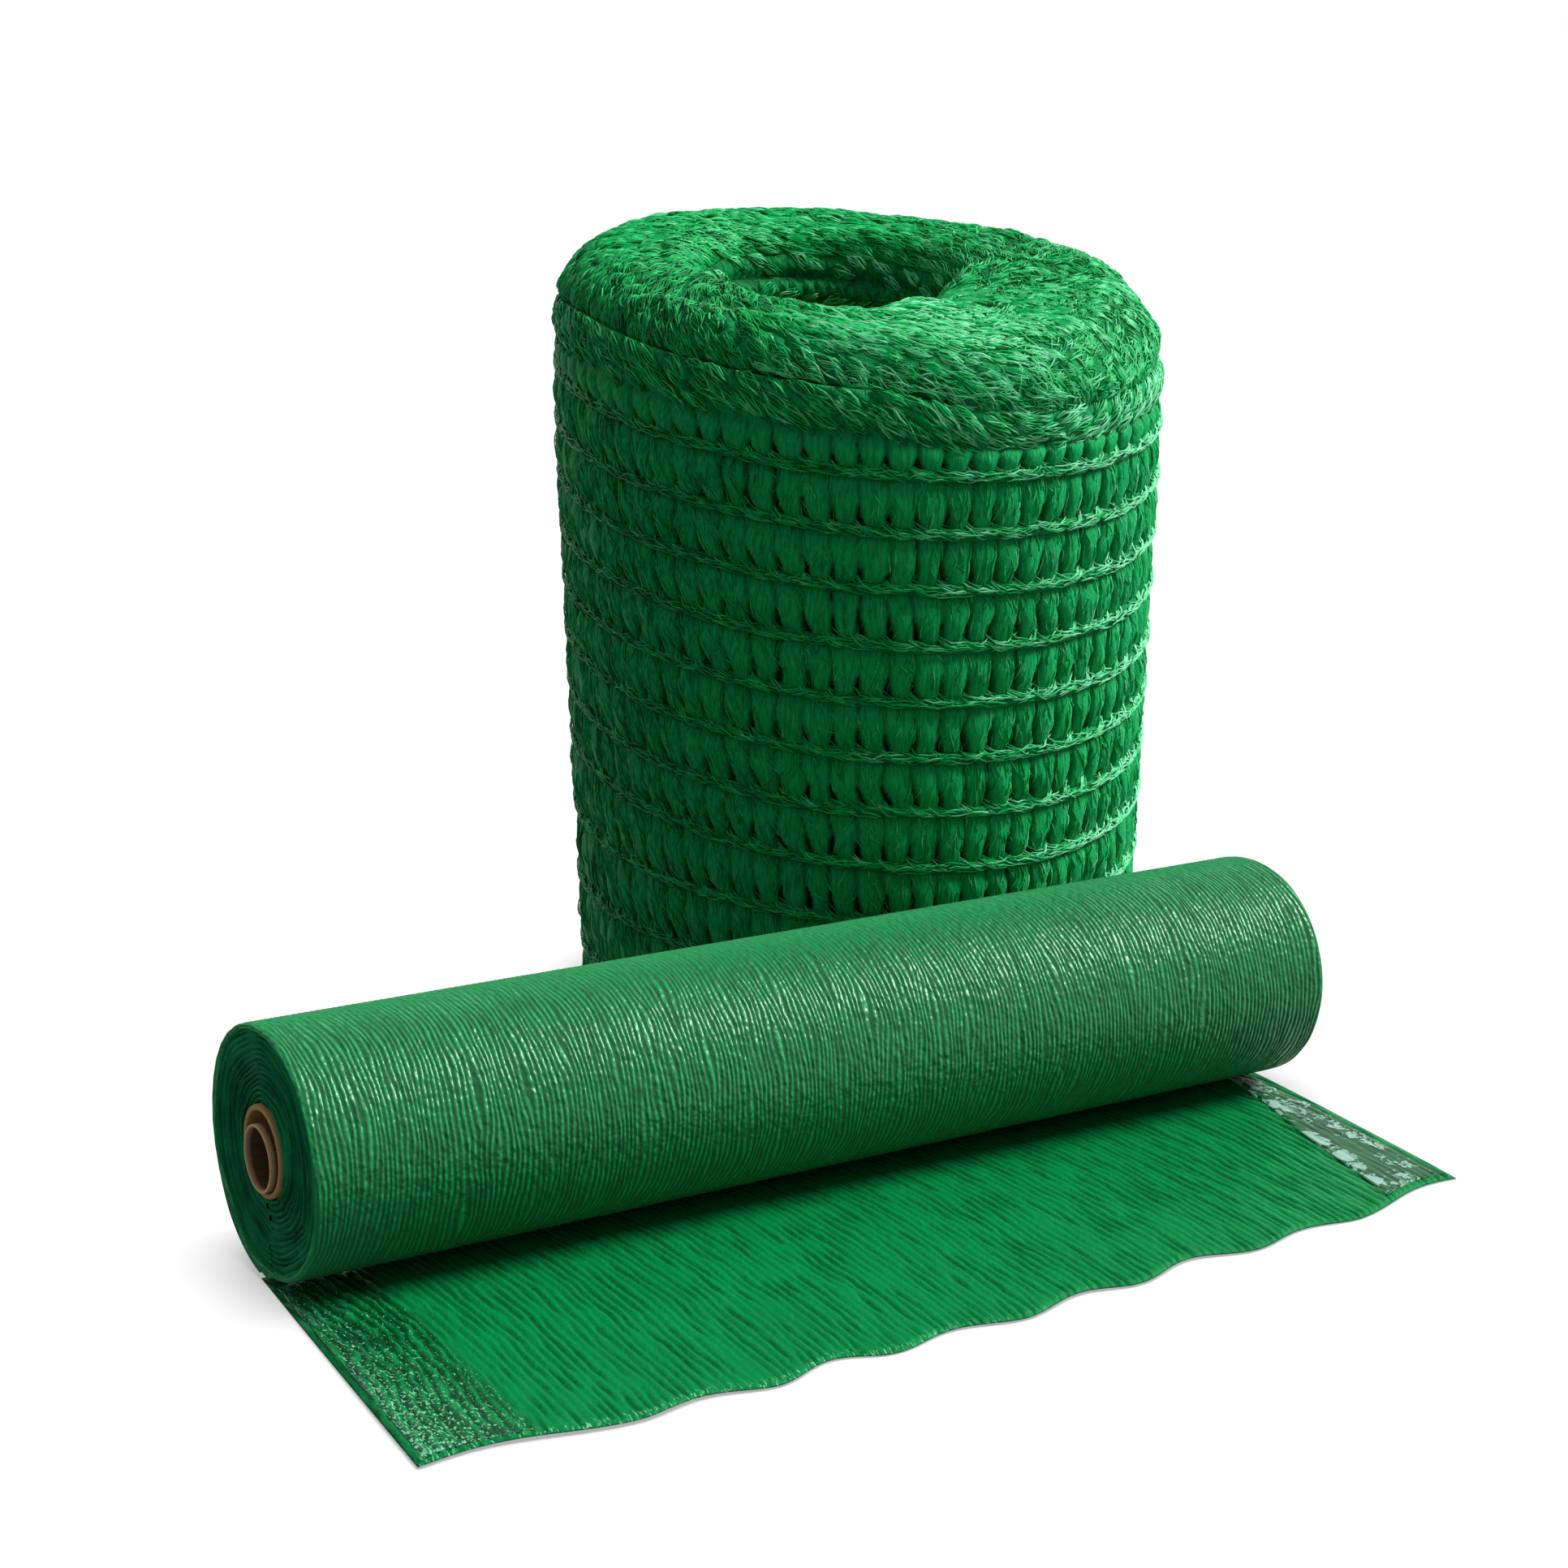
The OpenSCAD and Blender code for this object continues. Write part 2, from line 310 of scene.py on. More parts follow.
# The creping is pulled smooth over the roll's top
taut = as_share((around - 155) / 28) * as_share((290 - around) / 60)
phase, relief = creping(shell_x, around)
relief = relief * (1 - 0.6 * taut)
from_end = half_length - np.abs(shell_x)
taut = np.maximum(taut, 1 - as_share(from_end / 3))
lip = 0.8 * (1 - as_share(from_end / 2)) ** 2
outside = turn_radius - 0.2 + relief - lip
radius = np.where(inset > 0, turn_radius - 0.8 - inset, outside)
points = on_the_roll(shell_x, around, radius)
last_turn = grid_piece("wound_sheet_last_turn", points, crepe_green, taut=taut, phase=phase)

def crepe_finish(name, pale, dark, roughness, specular, creasing):
    """Green film, glossy on its ridges and dull in its valleys, with fine creases along them. Its valleys are
    painted darker as shade and its ridges paler.
    """
    material, tree, shader = new_finish(name, roughness, specular, (0.75, 1.0, 0.86))
    dullness = ramp(tree, painted(tree, "gloss"), 0.3, 0.75, 0.85, roughness)
    tree.links.new(dullness, shader.inputs["Roughness"])
    height = painted(tree, "height")
    creases = stretched_noise(tree, (330, 270, 270), 3, 0.62)
    tint = stretched_noise(tree, (40, 25, 25), 2)
    level = reckon(tree, "ADD", height, reckon(tree, "MULTIPLY", creases, 0.35))
    # Painted shade: dark in the valleys, pale on the ridges.
    colour = blend_colours(tree, ramp(tree, level, 0.15, 0.85), dark, pale)
    shade = blend_colours(tree, 0.2, colour, dark)
    colour = blend_colours(tree, ramp(tree, tint, 0.35, 0.65), shade, colour)
    dress(tree, shader, colour, creases, creasing)
    return material

# The other turns show only at the roll's two ends, as a dished spiral of soft, uneven folds.
# Painted shade: the valleys between the turns are painted near black.
edge_green = crepe_finish("crepe_edges", paint(24, 148, 92), paint(0, 18, 9), 0.6, 0.08, 0.0008)
face_radius = 50.6
face_rings = 112
turn_ends = []
for side, name in ((-1, "wound_sheet_left_end"), (1, "wound_sheet_right_end")):
    face_r = np.linspace(wind_start, face_radius, face_rings)
    ring_r = np.concatenate([face_r, [face_radius, wind_start, wind_start]])
    depth = np.concatenate([np.zeros(face_rings), [6, 6, 0]])
    ring_r, around = np.meshgrid(ring_r, np.linspace(0, 360, 241), indexing="ij")
    angle = np.radians(around)
    sunk_r = ring_r - sag(around) * (ring_r - wind_start) / (face_radius - wind_start)
    place = at(-sunk_r * np.sin(angle), -sunk_r * np.cos(angle), 40 * side)
    wander = 2.2 * soft_noise(place / 20, 5) + 0.7 * soft_noise(place / 7, 6)
    phase = (ring_r + wander - wind_start) / wind_pitch - around / 360
    pressed = np.clip(0.6 + 0.8 * soft_noise(place / 11, 12), 0.15, 1)
    ridge = 1 - pressed * (1 - np.abs(np.sin(np.pi * phase)) ** 0.8)
    turn_number = np.floor(phase)
    y, z = place[..., 0], place[..., 1]
    pushed = soft_noise(at(turn_number * 7.31, y / 22, z / 22), 7)
    dish = 1.0 * np.sin(np.pi * (ring_r - wind_start) / 31) + 0.6
    deep = 3.0 + 2.0 * soft_noise(at(turn_number * 3.17, y / 15, z / 15), 9)
    out = face_x - dish - deep * (1 - ridge) + 1.0 * pushed * ridge
    out = np.where(depth[:, None] > 0, 249 - depth[:, None], out)
    out[-1] = out[0]
    points = at(side * out, y, axis_height + z)
    outer_share = as_share((ring_r - 38) / 10)
    streaks = 0.3 * soft_noise(at(phase * 3.3, y / 12, z / 12), 8)
    shown = (0.6 + 0.25 * outer_share) * ridge * (0.8 + 0.3 * pushed) + streaks * ridge
    turn_ends.append(grid_piece(name, points, edge_green, height=shown))

for piece in [last_turn] + turn_ends:
    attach(piece, "sheet_roll")
    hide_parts("wound_sheet")

# ---- Peel strip ----
# At the roll's back the last turn lies on it once more, a loose layer that comes off underneath.
first, last = -8, -61.65
strip_rows = 22
strip_turn = np.concatenate([np.linspace(first, last, strip_rows), np.linspace(last, first, strip_rows)[1:]])
on_top = np.concatenate([np.ones(strip_rows), np.zeros(strip_rows - 1)])
strip_x = np.linspace(-half_length, half_length, 801)
around, strip_x = np.meshgrid(strip_turn, strip_x, indexing="ij")
on_top = np.broadcast_to(on_top[:, None], around.shape)
phase, relief = creping(strip_x, around)
from_ends = np.minimum((around - last) / 16, (first - around) / 6)
thick = 0.8 * as_share(np.minimum(from_ends, (half_length - np.abs(strip_x)) / 3))
hug = 0.9 * (1 - as_share((around - last) / 16))
radius = 53.3 - hug + on_top * thick * (0.7 + relief)
points = on_the_roll(strip_x, around, radius)
strip = grid_piece("peeling_turn", points, crepe_green, phase=phase)
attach(strip, "peel")
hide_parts("peel_strip")

# ---- Laid sheet ----
# The free end lies on the floor, a little askew. Its bands run away from the roll, and its front
# edge, cut by hand, swings between points that touch the floor and arcs that lift off it.
skew = math.tan(math.radians(5.5))
points_touching = [(-168, -187), (-110, -188), (-56, -186), (3, -186), (61, -182), (124, -179), (183, -175)]
touch_s = [-274] + [s for s, y in points_touching] + [274]
touch_y = [-180] + [y + 1.5 for s, y in points_touching] + [-161]
arc_depth = 7
sheet_back = 8
seen_length = 190

def front_edge(s):
    """Where the front edge runs: arcs that draw back between the points that touch the floor."""
    line = np.interp(s, touch_s, touch_y)
    along = np.interp(s, touch_s, range(len(touch_s)))
    return line + arc_depth * np.sin(np.pi * along) ** 2 * (0.95 + 0.2 * np.cos(2.4 * along))

def side_sway(s, y):
    """How far the sheet's right edge swings in and out."""
    sway = np.interp(-y, [0, 13, 29, 59, 82, 111, 138, 160], [3.5, 4.5, 4, 3.5, 2, 0.5, 0, -1])
    return sway * as_share((s - 150) / 100)

def arc_lift(s, y):
    """Height of the sheet's underside: it lifts along the front, between the points of the edge."""
    arcs = np.abs(np.sin(np.pi * np.interp(s, touch_s, range(len(touch_s))))) ** 1.2
    near = as_share((-y - 105) / 75) ** 2
    swell = soft_noise(at(s / 60, y / 45, 0), 21)
    return near * (0.05 + 0.25 * arcs) + as_share(-y / 60 - 0.6) * as_share(0.5 + swell) * 0.8

def crinkle(x, y, pitch, wander, seed):
    """Height of the creping, 0 between two ridges and 1 on one; x runs across the ridges."""
    place = at(x, y, 0)
    broad = soft_noise(place / (38, 60, 60), seed)
    close = soft_noise(place / (7, 20, 20), seed + 1)
    short = soft_noise(place / (2.6, 7, 7), seed + 4)
    strength = soft_noise(place / (3.6, 16, 16), seed + 2)
    fine = soft_noise(place / (1.2, 5, 5), seed + 3)
    phase = x / pitch + wander * (0.9 * broad + 0.42 * close + 0.24 * short)
    ridge = np.exp(-((phase - np.round(phase)) / 0.25) ** 2)
    return np.clip(ridge * (0.75 + 0.6 * strength) + 0.1 * (1 + fine), 0, 1.15)

def laid_crinkle(s, y):
    """The creping of the laid end: flat bands with narrow valleys, swung to the right near the roll."""
    swung = s + 14 * np.exp(y / 38)
    chunky = as_share((-195 - s) / 20)
    calm = 1.05 - 0.85 * crinkle(swung, y, 3.9, 0.5, 30)
    rough = crinkle(swung, y * 1.7, 4.4, 0.8, 35)
    return calm * (1 - chunky) + rough * chunky

sheet_s = np.linspace(-half_length, half_length, 751)
top_rows, under_rows = 105, 10
top_share = 1 - (1 - np.linspace(0, 1, top_rows)) ** 1.15
share = np.concatenate([top_share, np.linspace(1, 0, under_rows + 1)[1:]])
on_top = np.concatenate([np.ones(top_rows), np.zeros(under_rows)])
share, sheet_s = np.meshgrid(share, sheet_s, indexing="ij")
on_top = np.broadcast_to(on_top[:, None], share.shape)
sheet_y = sheet_back + share * (front_edge(sheet_s) - sheet_back)
height = laid_crinkle(sheet_s, sheet_y)
to_edge = np.minimum((1 - share) * seen_length, share * seen_length + 0.4)
to_edge = np.minimum(half_length - np.abs(sheet_s), to_edge)
body = as_share(to_edge / 2.5)
under = arc_lift(sheet_s, sheet_y)
top = 0.35 + body * (0.55 + 0.95 * np.clip(height, 0, 1.1))
sheet_z = under + on_top * top
ends = (np.abs(sheet_s) > 249.9) | (share < 0.0001)
sheet_z = np.where(ends, under + 0.3, sheet_z)
sheet_x = sheet_s + side_sway(sheet_s, sheet_y) + sheet_y * skew
points = at(sheet_x, sheet_y, sheet_z)
# Painted glints: pale dashes near the front edge, more of them towards the left.
edge_glints = as_share(1.2 - (1 - share) * seen_length / 5) * on_top * np.clip((60 - sheet_s) / 150, 0.1, 1)
# Painted shadow: the sheet is painted darker close to the roll, where the roll shades it.
roll_shadow_share = 0.75 * np.exp(sheet_y / 20) * on_top
shades = {"height": height, "gloss": height, "edge_glints": edge_glints, "hollow": roll_shadow_share}

laid_green = crepe_finish("laid_film", paint(0, 136, 69), paint(0, 96, 46), 0.5, 0.12, 0.0006)
tree = laid_green.node_tree
colour_in = tree.nodes["Principled BSDF"].inputs["Base Color"]
# Painted glints along the front edge.
glint_dashes = ramp(tree, stretched_noise(tree, (1300, 300, 0), 2), 0.57, 0.63)
glint_dashes = reckon(tree, "MULTIPLY", glint_dashes, painted(tree, "edge_glints"))
# Painted shadow: near black mixed in close to the roll.
colour = blend_colours(tree, painted(tree, "hollow"), colour_in.links[0].from_socket, paint(0, 40, 16))
tree.links.new(blend_colours(tree, glint_dashes, colour, paint(130, 215, 165)), colour_in)

laid = grid_piece("laid_end_sheet", points, laid_green, **shades)
bpy.ops.object.mode_set(mode="EDIT")
bpy.ops.mesh.select_all(action="SELECT")
bpy.ops.mesh.fill_holes(sides=0)
bpy.ops.mesh.normals_make_consistent(inside=False)
bpy.ops.object.mode_set(mode="OBJECT")
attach(laid, "laid_end")
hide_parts("laid_sheet")

# ---- Edge films ----
# Along both edges the sheet was sealed flat, which leaves a shiny skin on the creping: at the right, pale
# patches between creases, painted as reflections of the white surround, and at the left, small facets with
# painted glints.

def film_piece(name, finish, inner, outer, front_gap, relief):
    """A thin skin on the laid sheet between an inner and an outer line, each given as s along y."""
    back_y = -6
    across = np.linspace(0, 1, 61)
    along = np.linspace(0, 1, 101)
    along, across = np.meshgrid(along, across, indexing="ij")
    film_y = back_y + along * (front_edge(np.interp(100, *inner)) - back_y)
    low = np.interp(-film_y, *inner)
    high = np.interp(-film_y, *outer)
    s = low + across * (high - low)
    film_y = back_y + along * (front_edge(s) + front_gap - back_y)
    place = at(s / 2.6, film_y / 12, 0)
    pucker = relief * (0.3 * soft_noise(place, 40) + 0.2 * soft_noise(place * 2.3, 41))
    rim = as_share(np.minimum(np.minimum(across, 1 - across) * 10, np.minimum(along, 1 - along) * 40))
    height = laid_crinkle(s, film_y)
    smooth = 1.5 * (1 - relief) * rim
    z = arc_lift(s, film_y) + 1.1 + 0.75 * height * (1 - smooth) + rim * (0.4 + pucker) + 0.5 * smooth
    x = s + side_sway(s, film_y) + film_y * skew
    top = at(x, film_y, z)
    bottom = top - (0, 0, 0.25)
    shell = np.concatenate([top, bottom[::-1], top[:1]])
    shell[len(top):-1, :1] = top[::-1, :1]
    shell[len(top):-1, -1:] = top[::-1, -1:]
    shell[len(top)] = top[-1]
    shell[2 * len(top) - 1] = top[0]
    rows = [np.concatenate([value, value[::-1], value[:1]]) for value in (along, across, height)]
    return grid_piece(name, shell, finish, along=rows[0], across=rows[1], height=rows[2])

film_turn = 0.13

def banded_noise(tree, scale, detail, seed):
    """Noise on the sheet's plane, turned with the sheet, so that it can be stretched along it."""
    return noise(tree, stretched(tree, own_place(tree), scale, film_turn, seed), detail, 0.6, 0.5)

def crease_net(tree, scale):
    """1 inside the cells of an uneven net of creases, and 0 on the creases."""
    place = own_place(tree)
    drift = node(tree, "TexNoise", [("Vector", place), ("Scale", 220.0), ("Detail", 2.0)]).outputs["Color"]
    drift = reckon(tree, "MULTIPLY", drift, (0.012, 0.02, 0), kind="VectorMath")
    place = reckon(tree, "ADD", place, drift, kind="VectorMath")
    values = [("Vector", stretched(tree, place, scale, film_turn)), ("Scale", 1.0)]
    to_crease = node(tree, "TexVoronoi", values, feature="DISTANCE_TO_EDGE").outputs["Distance"]
    return ramp(tree, to_crease, 0.07, 0.12)

reflecting_film, tree, shader = new_finish("film_with_painted_reflections", 0.35, 0.15)
across = painted(tree, "across")
large = crease_net(tree, (75, 48, 0))
fine = reckon(tree, "MULTIPLY", large, crease_net(tree, (190, 90, 0)))
outward = ramp(tree, across, 0.3, 0.5)
cells = node(tree, "Mix", [("Factor", outward), (2, large), (3, fine)], data_type="FLOAT").outputs[0]
patch = ramp(tree, banded_noise(tree, (110, 50, 0), 3, 3), 0.44, 0.47)
share = reckon(tree, "MULTIPLY", patch, cells)
share = reckon(tree, "MULTIPLY", share, ramp(tree, across, 0.0, 0.05))
# Painted reflection: the pale patches are painted as the white surround seen in the flat, glossy skin.
reflection_mottle = ramp(tree, banded_noise(tree, (300, 90, 0), 3, 1), 0.35, 0.65)
painted_reflection = blend_colours(tree, reflection_mottle, paint(168, 208, 196), paint(132, 190, 164))
# Painted shade: darker in the creping's valleys.
height = ramp(tree, painted(tree, "height"), 0.2, 0.9)
colour = blend_colours(tree, height, paint(0, 54, 24), paint(4, 104, 54))
dress(tree, shader, blend_colours(tree, share, colour, painted_reflection), share, 0.0005)
right_inner = ([0, 46, 79, 157, 170], [232, 226.4, 219.6, 208.1, 206])
right_outer = ([0, 13, 60, 170], [242, 243.3, 244.5, 245])
right_film = film_piece("sealed_edge_right", reflecting_film, right_inner, right_outer, 4, 0.5)

glitter, tree, shader = new_finish("glittering_film", 0.35, 0.4, (0.6, 1.0, 0.78))
often = reckon(tree, "ADD", painted(tree, "along"), painted(tree, "across"))
often = reckon(tree, "MULTIPLY", often, 0.1)
glint_facets = reckon(tree, "ADD", banded_noise(tree, (900, 420, 0), 2, 2), often)
# Painted shade: darker in the creping's valleys.
height = ramp(tree, painted(tree, "height"), 0.15, 0.85)
colour = blend_colours(tree, height, paint(0, 62, 28), paint(6, 138, 72))
# Painted glints: pale facets, more of them towards the outer edge and the front.
colour = blend_colours(tree, ramp(tree, glint_facets, 0.71, 0.76), colour, paint(130, 218, 168))
dress(tree, shader, colour, glint_facets, 0.0008)
left_inner = ([0, 170], [-212, -203])
left_outer = ([0, 170], [-248, -247])
left_film = film_piece("sealed_edge_left", glitter, left_inner, left_outer, 3, 1)

for piece, film_node in ((left_film, "edge_film_left"), (right_film, "edge_film_right")):
    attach(piece, "laid_end")
    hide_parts(film_node)

for piece in (laid, left_film, right_film):
    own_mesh(piece)

# ---- Net cords ----
# Eleven cords run round the standing roll. Each is a handful of shiny strands laid together, about
# 7 mm thick. They gather there from the bundles' feet, as a small tuft wherever two bundles part.
net_x, net_y = 165, 213.35
net_radius = 152
net_height = 371
hollow_radius = 66
foot_narrow = 10
narrow_up = 0.8 * net_height
lean = math.tan(math.radians(11.6))
low_side = 264
shoulder = 35
cord_thick = 7.4
cord_radius = net_radius + 0.5 - cord_thick / 2
wrap_radius = net_radius + 0.2 - cord_thick
wrap_shoulder = math.sqrt(shoulder ** 2 - (wrap_radius - net_radius + shoulder) ** 2)
side_top = net_height - wrap_radius * lean - (shoulder - wrap_shoulder) - 9
cord_count = 11
cord_pitch = side_top / (cord_count + 1)
full_rise = 2 * net_radius * lean
bundles = 72
seam = 56.8
draws = np.random.default_rng(11)

def cord_z(k, a):
    """Height of the middle of cord k. The slope of the cords dies out towards the floor."""
    rise = (1 - np.cos(np.radians(a - low_side))) / 2
    return cord_pitch * (k - 1 / 6) + full_rise * min(1, k / 4) * rise

def round_the_net(r, a, z):
    """Points about the standing roll's axis, which is drawn in towards the floor."""
    drawn = foot_narrow * as_share(1 - z / narrow_up) * np.clip(r - hollow_radius, 0, None)
    r = r - drawn / (net_radius - hollow_radius)
    a = np.radians(a)
    return at(net_x + r * np.cos(a), net_y + r * np.sin(a), z)

def between(a, start, end):
    """0 up to one angle and 1 from the other, with a smooth step."""
    share = as_share((a - start) / (end - start))
    return share * share * (3 - 2 * share)

def arc_share(a, rise, full, fall, gone):
    """1 over an arc of the ring and 0 outside it, with smooth steps at either end."""
    return between(a % 360, rise, full) * (1 - between(a % 360, fall, gone))

def loose_share(a):
    """1 on the left, where the net's turns part, and 0 on the right, where they are felted together."""
    return as_share(0.35 + 0.9 * np.cos(np.radians(a - 195)))

def lit_share(a):
    """1 on the right, on the side the light comes from, and 0 on the left. It paints the cords and strands
    paler there as painted light, and makes the cords a little thicker and prouder there.
    """
    return as_share(0.5 + 0.75 * np.cos(np.radians(a - 322)))

def on_circle(tree, turns, radius):
    """Where a number of turns leads on a circle, so that noise closes round a ring."""
    angle = reckon(tree, "MULTIPLY", turns, math.tau)
    return [reckon(tree, "MULTIPLY", reckon(tree, way, angle), radius) for way in ("COSINE", "SINE")]

def yarn_finish(name, fibres, mid, dark, roughness, bump):
    """Green yarn: streaks of fibre, paler by random variation and by painted light and painted glints where
    its points say so, and painted dark as shade where it lies deep.
    """
    material, tree, shader = new_finish(name, roughness, 0.1, (0.4, 1.0, 0.65))
    streaks = noise(tree, fibres(tree), 3.0, 0.65, 0.3)
    colour = blend_colours(tree, ramp(tree, streaks, 0.38, 0.6), dark, mid)
    # Painted light and painted glints: the pale green stands for light on the lit side and glints on the
    # fibres.
    colour = blend_colours(tree, painted(tree, "tone"), colour, paint(40, 214, 124))
    # Painted shade: dark where the points say the yarn lies deep.
    colour = blend_colours(tree, painted(tree, "open"), paint(0, 36, 14), colour)
    dress(tree, shader, colour, streaks, bump)
    return material

def strand_finish():
    """Strands from deep to pale green: each has its own random lightness, raised as painted light and painted
    glints where its points say so, and is painted dark as shade where its tips dive in.
    """
    material, tree, shader = new_finish("net_strands", 0.38, 0.2, (0.4, 1.0, 0.65))
    patchy = stretched_noise(tree, (160, 160, 160), 2)
    tone = reckon(tree, "ADD", painted(tree, "tone"), reckon(tree, "SUBTRACT", patchy, 0.5))
    # Painted light and painted glints: the paler greens, where the points ask for them.
    colour = blend_colours(tree, ramp(tree, tone, 0.05, 0.6), paint(0, 110, 50), paint(10, 196, 100))
    colour = blend_colours(tree, ramp(tree, tone, 0.6, 1.0), colour, paint(140, 240, 186))
    # Painted shade: dark where the tips dive in.
    colour = blend_colours(tree, painted(tree, "open"), paint(0, 52, 22), colour)
    dress(tree, shader, colour, patchy, 0.0004)
    return material

strand_green = strand_finish()
strand_rows = 6

def strand_piece(name, lines, out, thick, tone):
    """Thin three-sided strands along their centre lines, pointed at both tips, as one piece."""
    along = np.gradient(lines, axis=1)
    along /= np.linalg.norm(along, axis=-1, keepdims=True)
    off_axis = 0.001, 0.002, 0.003
    beside = np.cross(along, out + off_axis)
    beside /= np.linalg.norm(beside, axis=-1, keepdims=True)
    upward = np.cross(beside, along)
    s = np.linspace(-1, 1, strand_rows)
    radius = (thick[:, None] / 2 * np.sqrt(1 - s ** 2))[..., None, None]
    corner = np.radians([90, 210, 330, 90])[:, None]
    sides = np.cos(corner) * beside[:, :, None] + np.sin(corner) * upward[:, :, None]
    skin = lines[:, :, None] + radius * sides
    # Painted shade: each strand is painted darker towards its tips, where they dive in.
    unshaded_share = np.broadcast_to(0.25 + 0.75 * as_share(1.6 * (1 - s ** 2)), lines.shape[:2])
    skin = skin.reshape(-1, 4, 3)
    tone = np.repeat(tone, strand_rows)[:, None]
    piece = grid_piece(name, skin, strand_green, strand_rows, tone=tone, open=unshaded_share.reshape(-1, 1))
    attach(piece, "net_roll")
    return piece

def cord_fibres(tree):
    """Fibres that wind round the cord."""
    uv = node(tree, "SeparateXYZ", [(0, node(tree, "UVMap").outputs[0])])
    wound = reckon(tree, "MULTIPLY", uv.outputs[0], 12.0)
    parts = on_circle(tree, reckon(tree, "SUBTRACT", uv.outputs[1], wound), 4.0)
    across = node(tree, "CombineXYZ", enumerate(parts)).outputs[0]
    slow = reckon(tree, "MULTIPLY", own_place(tree), (110, 110, 110), kind="VectorMath")
    return reckon(tree, "ADD", across, slow, kind="VectorMath")

cord_green = yarn_finish("cord_fibres", cord_fibres, paint(8, 160, 78), paint(0, 92, 40), 0.45, 0.0009)

cord_names = [f"net_cord_{k:02d}" for k in range(1, cord_count + 1)]
cord_columns = 6 * bundles
strands_each = 9
cord_lines = []
cord_starts = []
for k in range(1, cord_count + 1):
    v, u = np.meshgrid(np.linspace(0, 1, 11), np.linspace(0, 1, cord_columns + 1), indexing="ij")
    a = seam + 360 * u
    phi = 2 * np.pi * v
    flat = round_the_net(147, a, 0 * a)
    plies = np.abs(np.sin(3 * phi - 36 * np.radians(a))) ** 0.7
    wave = 0.8 * soft_noise(flat / 17, 60 + k)
    thick = (0.78 + 0.12 * lit_share(a)) * 3.7 * (0.76 + 0.16 * plies)
    r = cord_radius + thick * np.cos(phi) - 0.5 * (1 - lit_share(a))
    z = cord_z(k, a) + wave + thick * np.sin(phi)
    # Painted shade: the cord is painted darker between its plies and on its side towards the roll.
    unshaded_share = as_share(0.4 + 0.4 * plies) * np.clip(0.75 + 0.5 * np.cos(phi), 0.3, 1)
    points = round_the_net(r, a, z)
    # Painted light: the cord is painted paler on the lit side.
    cord = grid_piece(f"twisted_cord_{k:02d}", points, cord_green, open=unshaded_share, tone=0.5 * lit_share(a))
    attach(cord, "net_roll")
    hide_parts(cord_names[k - 1])

    # Strands leave the slots between two bundles, turn into the cord and run along it
    count = bundles * strands_each
    start_a = seam + 360 / bundles * np.repeat(np.arange(bundles), strands_each)
    is_tuft = draws.random(count) < 0.5
    to_right = draws.random(count) < 1 - 0.7 * arc_share(start_a, 258, 290, 330, 358)
    way = np.where(to_right, 1, -1)
    length = draws.uniform(12, 21, count)
    begins = draws.normal(-5, 1.3, count) - np.where(is_tuft, 0, draws.uniform(0, 10, count))
    first = np.where(is_tuft, draws.uniform(4, 10, count), draws.uniform(-2.6, 2.6, count))
    settled = draws.uniform(-2.6, 2.6, count)
    turn_at = draws.uniform(0, 6.3, count)
    s = np.linspace(0, 1, strand_rows) * length[:, None]
    line_a = start_a[:, None] + way[:, None] * np.degrees((begins[:, None] + s) / 150)
    off = settled[:, None] + (first - settled)[:, None] * np.exp(-(s / 6) ** 1.5)
    off = off + 0.45 * np.sin(s / 1.5 + turn_at[:, None])
    line_r = cord_radius + np.sqrt(np.clip(3.4 ** 2 - off ** 2, 0, None)) - 0.45 * np.clip(off - 3.4, 0, 3)
    line_r = line_r - 0.5 * (1 - lit_share(line_a)) + draws.uniform(-0.2, 0.5, count)[:, None]
    cord_lines.append(round_the_net(line_r, line_a, cord_z(k, line_a) + off))
    cord_starts.append(start_a)

cord_lines = np.concatenate(cord_lines)
cord_starts = np.concatenate(cord_starts)
away = cord_lines - (net_x, net_y, 0)
away[..., 2] = 25
away /= np.linalg.norm(away, axis=-1, keepdims=True)
count = len(cord_lines)
# Painted light and painted glints: cord strands are painted paler in front and on the lit side.
in_front = 1 - loose_share(cord_starts)
tone = 0.16 + 0.3 * in_front + 0.46 * lit_share(cord_starts) + draws.uniform(-0.2, 0.3, count)
cord_strands = strand_piece("cord_strands", cord_lines, away, draws.uniform(0.9, 1.5, count), tone)
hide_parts(*cord_names)

# ---- Stitch rows ----
# Between the cords stand 72 fluffy yarn bundles a row. Each is full under the upper cord, narrows
# to a round foot on the lower one, and leaves a dark slot at either side of that foot.

def row_low(k, a):
    return 1.2 + 0 * a if k == 1 else cord_z(k - 1, a) + 3.5

def plait_top(a):
    """Height of the plaited edge's top: higher on the left, where it parts from the crown."""
    left = arc_share(a, 140, 178, 238, 268)
    return cord_z(cord_count, a) + 27 + 9 * left

def row_high(k, a):
    return plait_top(a) + 1.5 if k > cord_count else cord_z(k, a) - 3.5

def fibre_ring(tree, around, along):
    """Noise that follows a ring: cells counted around it and along its section, with no seam."""
    uv = node(tree, "SeparateXYZ", [(0, node(tree, "UVMap").outputs[0])])
    parts = on_circle(tree, uv.outputs[0], around / math.tau)
    parts = parts + [reckon(tree, "MULTIPLY", uv.outputs[1], along)]
    return node(tree, "CombineXYZ", enumerate(parts)).outputs[0]

def bundle_lean(a):
    """Share of a bundle's width by which its top leans over."""
    return 0.5 * np.sin(np.radians(a - 250))

def row_fibres(tree):
    return fibre_ring(tree, 1050, 5)

